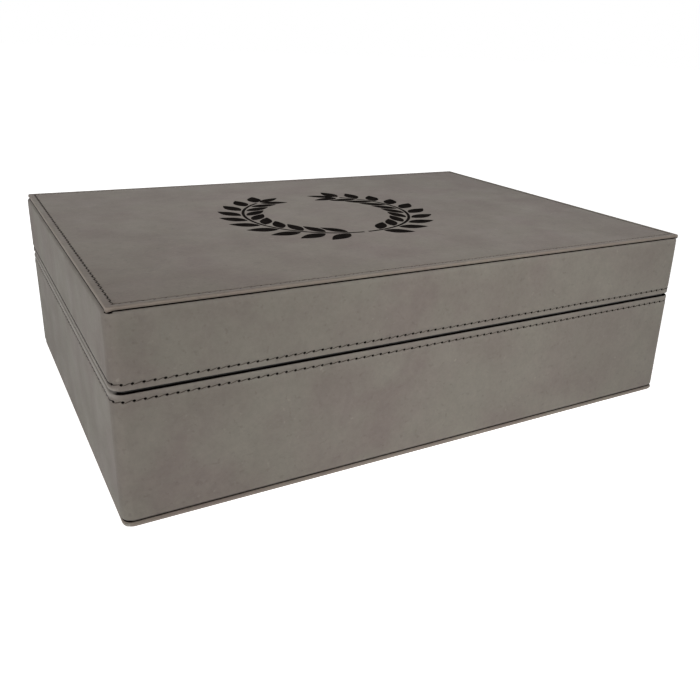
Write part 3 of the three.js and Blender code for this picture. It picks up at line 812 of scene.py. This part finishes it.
def suede():
    paint = Paint("suede", Sheen_Weight=0.5, Sheen_Roughness=0.4, Specular_IOR_Level=0.15)
    nap = paint.spread(paint.noise(26, 4, 0.6), 0.35, 0.65)
    colour = paint.mix(nap, srgb(40, 39, 38), srgb(54, 52, 50))
    colour = paint.shade(colour, paint.spread(paint.noise(1600, 2, 0.6), 0.3, 0.7, 0.82, 1.2))
    normal = paint.bump(paint.noise(2200, 2, 0.6), 0.5, 0.0001)
    return paint.finish(colour, paint.spread(nap, 0, 1, 0.88, 1.0), normal)


def fibreboard():
    paint = Paint("fibreboard", Specular_IOR_Level=0.2)
    fibres = paint.spread(paint.noise(500, 4, 0.7), 0.3, 0.7)
    colour = paint.mix(fibres, srgb(150, 120, 86), srgb(190, 160, 122))
    colour = paint.mix(paint.spread(paint.noise(60), 0.4, 0.8, 0, 0.3), colour, srgb(128, 100, 72))
    return paint.finish(colour, 0.9, paint.bump(paint.noise(900, 3), 0.4, 0.0002))


def card():
    paint = Paint("card", Specular_IOR_Level=0.2)
    pulp = paint.spread(paint.noise(700, 3, 0.7), 0.3, 0.7)
    colour = paint.mix(pulp, srgb(132, 127, 118), srgb(158, 153, 144))
    return paint.finish(colour, 0.95, paint.bump(paint.noise(800, 3), 0.3, 0.0001))


def plated(name, dark, light, rough):
    paint = Paint(name, Metallic=1.0)
    smudge = paint.spread(paint.noise(180, 3), 0.35, 0.65)
    brushed = paint.noise(900, 2, 0.5, (0.08, 1, 1))
    roughness = paint.spread(smudge, 0, 1, rough, rough + 0.1)
    roughness = paint.math("ADD", paint.spread(brushed, 0.3, 0.7, -0.05, 0.05), roughness)
    return paint.finish(paint.mix(smudge, dark, light), roughness, paint.bump(brushed, 0.15, 0.00003))


def dress(made, material):
    slots = made.data.materials
    if slots:
        slots[0] = material
    else:
        slots.append(material)
    return made


def keep(made, body, slot, *nodes):
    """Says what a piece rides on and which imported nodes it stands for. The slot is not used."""
    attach(made, body)
    if nodes:
        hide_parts(*nodes)
    return made


# Build

LEATHERETTE = leatherette("leatherette", (1, 1, 1, 1))
# Painted light: the panels' copy is tinted warmer, to offset the pale sheen that the top reflects
PANEL_LEATHERETTE = leatherette("panel_leatherette", (1.055, 0.985, 0.95, 1))
ENGRAVING, SUEDE = engraving(), suede()
# The walls' thread is painted darker than the panel's, as painted shade of the stitches on the upright
# walls
THREAD = thread("thread", srgb(60, 54, 49), srgb(86, 79, 73))
PANEL_THREAD = thread("panel_thread", srgb(90, 83, 77), srgb(112, 105, 98))
FIBREBOARD, CARD = fibreboard(), card()
NICKEL = plated("nickel", srgb(170, 167, 160), srgb(196, 193, 187), 0.27)
MAGNET = plated("magnet_plate", srgb(188, 188, 186), srgb(208, 208, 207), 0.16)


def hinge_notches(body, rim, back):
    """Blocks that let the leaves of both hinges into a rim."""
    rise = RISE[body]
    low, high = sorted((rim - rise * NOTCH_DEPTH, rim + rise * (SKIN + GLUE)))
    blocks = []
    for side in ("left", "right"):
        lo, hi = box_mm(f"hinge_{side}_{body}_leaf")
        blocks.append(block((lo[0] - GLUE, lo[1] - GLUE, low), (hi[0] + GLUE, back + NOTCH_OVERRUN, high)))
    return blocks


def magnet_sockets(body, rim):
    """Discs that bare both magnets in a rim."""
    discs = []
    for side in ("left", "right"):
        lo, hi = box_mm(f"{body}_magnet_{side}")
        x, y = (lo + hi)[:2] / 2
        discs.append(upright_disc(x, y, (hi[0] - lo[0]) / 2 + GLUE, rim - SOCKET_HALF, rim + SOCKET_HALF))
    return discs


def add_outside(body):
    """The wrapped walls, the cloth on the rim and the covered panel of one half."""
    rise = RISE[body]
    lo, hi = box_mm(f"{body}_wrap")
    rim, foot = (lo[2], hi[2]) if rise > 0 else (hi[2], lo[2])
    notches = hinge_notches(body, rim, hi[1])
    skin, sewing, place = wall_skin(body, hi[:2], rim, abs(rim - foot), notches)
    keep(dress(skin, LEATHERETTE), body, "leatherette", f"{body}_wrap")
    sewn = threads(f"{body}_thread", sewing, place, rise, THREAD_SUNK["wall"])
    keep(dress(sewn, THREAD), body, "leatherette")
    cutters = hinge_notches(body, rim, hi[1]) + magnet_sockets(body, rim)
    cloth = rim_cloth(body, hi[:2], rim, cutters)
    keep(dress(cloth, SUEDE), body, "lining", f"{body}_rim_cloth")

    lo, hi = box_mm(f"{body}_panel_cover")
    skin, sewing, place = panel_skin(body, lo, hi)
    keep(dress(skin, PANEL_LEATHERETTE), body, "leatherette", f"{body}_panel_cover")
    if body == "lid":
        motif = stamped("lid_panel_motif", wreath(WREATH_CENTRE, WREATH_RADIUS), hi[2])
        keep(dress(motif, ENGRAVING), body, "leatherette")
        sewn = threads("lid_panel_thread", sewing, place, rise, THREAD_SUNK["panel"])
        keep(dress(sewn, PANEL_THREAD), body, "leatherette")


def add_inside(body, pad_node):
    """The four lined cards and the pad of one half."""
    rim_up = body == "base"
    for side in ("front", "right", "back", "left"):
        node = f"{body}_{side}_lining"
        lined = lining_card(f"{body}_{side}_suede", *box_mm(node), rim_up)
        keep(dress(lined, SUEDE), body, "lining", node)
    pad = pad_cover(f"{pad_node}_cover", *box_mm(pad_node), rim_up)
    keep(dress(pad, SUEDE), body, "lining", pad_node)


def smooth_tree():
    """Modifier tree that shades a node smooth, without the normals that it was packed with."""
    tree = bpy.data.node_groups.new("smooth_shading", "GeometryNodeTree")
    for way in ("INPUT", "OUTPUT"):
        tree.interface.new_socket("Geometry", in_out=way, socket_type="NodeSocketGeometry")
    nodes = Nodes(tree)
    shape = nodes.add("NodeGroupInput").outputs[0]
    shape = nodes.add("GeometryNodeRemoveAttribute", Geometry=shape, Name="custom_normal").outputs[0]
    for domain in ("EDGE", "FACE"):
        shape = nodes.add("GeometryNodeSetShadeSmooth", {"domain": domain}, Geometry=shape).outputs[0]
    nodes.add("NodeGroupOutput", Geometry=shape)
    return tree


SMOOTH_TREE = smooth_tree()


def soften_metal(made):
    """Takes the facets off a packed metal node by modifiers alone: smooth rounds and small bevels."""
    made.modifiers.new("smooth", "NODES").node_group = SMOOTH_TREE
    weld = made.modifiers.new("weld", "WELD")
    weld.merge_threshold = 0.001 * MM
    flat = made.modifiers.new("flat", "DECIMATE")
    flat.decimate_type, flat.angle_limit = "DISSOLVE", math.radians(1)
    soften = made.modifiers.new("soften", "BEVEL")
    soften.width, soften.segments = 0.1 * MM, 2
    soften.limit_method, soften.angle_limit = "ANGLE", math.radians(30)
    made.modifiers.new("normals", "WEIGHTED_NORMAL")


for body, pad_node in (("base", "base_floor_pad"), ("lid", "lid_ceiling_pad")):
    add_outside(body)
    add_inside(body, pad_node)

finishes = {"board": FIBREBOARD, "core": CARD, "magnet": MAGNET, "hinge": NICKEL}
for node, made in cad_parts.items():
    found = [finish for word, finish in finishes.items() if word in node]
    dress(made, found[0] if found else LEATHERETTE)
    if "hinge" in node or "magnet" in node:
        soften_metal(made)

# Camera, at the photo's angle

EYE = (-192.6, -367.8, 182.0)
AZIMUTH, ELEVATION, ROLL = (math.radians(a) for a in (31.3, 20.66, 2.57))
IMAGE_WIDTH, FOCAL_LENGTH = 700, 748.8  # pixels
SENSOR = 36
ahead = Vector(
    (
        math.sin(AZIMUTH) * math.cos(ELEVATION),
        math.cos(AZIMUTH) * math.cos(ELEVATION),
        -math.sin(ELEVATION),
    )
)
level = ahead.cross(Vector((0, 0, 1))).normalized()
upright = level.cross(ahead)
right = level * math.cos(ROLL) + upright * math.sin(ROLL)
up = upright * math.cos(ROLL) - level * math.sin(ROLL)
turned = Matrix((right, up, -ahead)).transposed().to_4x4()
camera = bpy.data.objects.new("camera", bpy.data.cameras.new("camera"))
bpy.context.scene.collection.objects.link(camera)
bpy.context.scene.camera = camera
camera.matrix_world = Matrix.Translation(Vector(EYE) * MM) @ turned
camera.data.lens = FOCAL_LENGTH / IMAGE_WIDTH * SENSOR
camera.data.sensor_width = SENSOR
camera.data.shift_x, camera.data.shift_y = -0.05, -0.035
camera.data.clip_start = 0.01

# Floor and light

FAR = 9000
SHOWN_FLOOR = 0.92  # glow that brings the floor to white in the picture, without lighting the box
SKY_LIGHT, SHOWN_SKY = 0.28, 1.0

floor_points = [(-FAR, -FAR, 0), (FAR, -FAR, 0), (FAR, FAR, 0), (-FAR, FAR, 0)]
floor = mesh_object("floor", floor_points, [(0, 1, 2, 3)])
ground = Paint("floor", Roughness=0.9, Specular_IOR_Level=0.0, Emission_Color=(1, 1, 1, 1))
plain = ground.mix(ground.spread(ground.noise(3, 2), 0.3, 0.7), srgb(238, 238, 238), srgb(241, 241, 241))
ground.put(ground.shader, "Base Color", plain)
ground.put(ground.shader, "Emission Strength", ground.math("MULTIPLY", ground.seen(), SHOWN_FLOOR))
dress(floor, ground.material)

world = bpy.data.worlds.new("world")
bpy.context.scene.world = world
world.use_nodes = True
sky = Nodes(world.node_tree)
strength = sky.spread(sky.seen(), 0, 1, SKY_LIGHT, SHOWN_SKY)
background = sky.add("ShaderNodeBackground", Color=(1, 1, 1, 1), Strength=strength)
sky.add("ShaderNodeOutputWorld", Surface=background.outputs[0])


def lamp(name, kind, place, aim, power, **settings):
    light = bpy.data.lights.new(name, kind)
    light.energy = power
    for key, value in settings.items():
        setattr(light, key, value)
    made = bpy.data.objects.new(name, light)
    bpy.context.scene.collection.objects.link(made)
    made.location = place
    made.rotation_mode = "QUATERNION"
    made.rotation_quaternion = (Vector(aim) - Vector(place)).to_track_quat("-Z", "Y")


# Places of the lamps in metres
window = {"shape": "RECTANGLE", "size": 0.5, "size_y": 0.4}
lamp("key", "AREA", (-0.9, -0.45, 0.35), (-0.1, -0.05, 0.05), 3.7, **window)
soft = {"spot_size": 0.24, "spot_blend": 1.0, "shadow_soft_size": 0.2}
lamp("front", "SPOT", (0.55, -1.7, 0.8), (0.02, -0.08, 0.06), 144, **soft)

bpy.context.scene.view_settings.view_transform = "Standard"
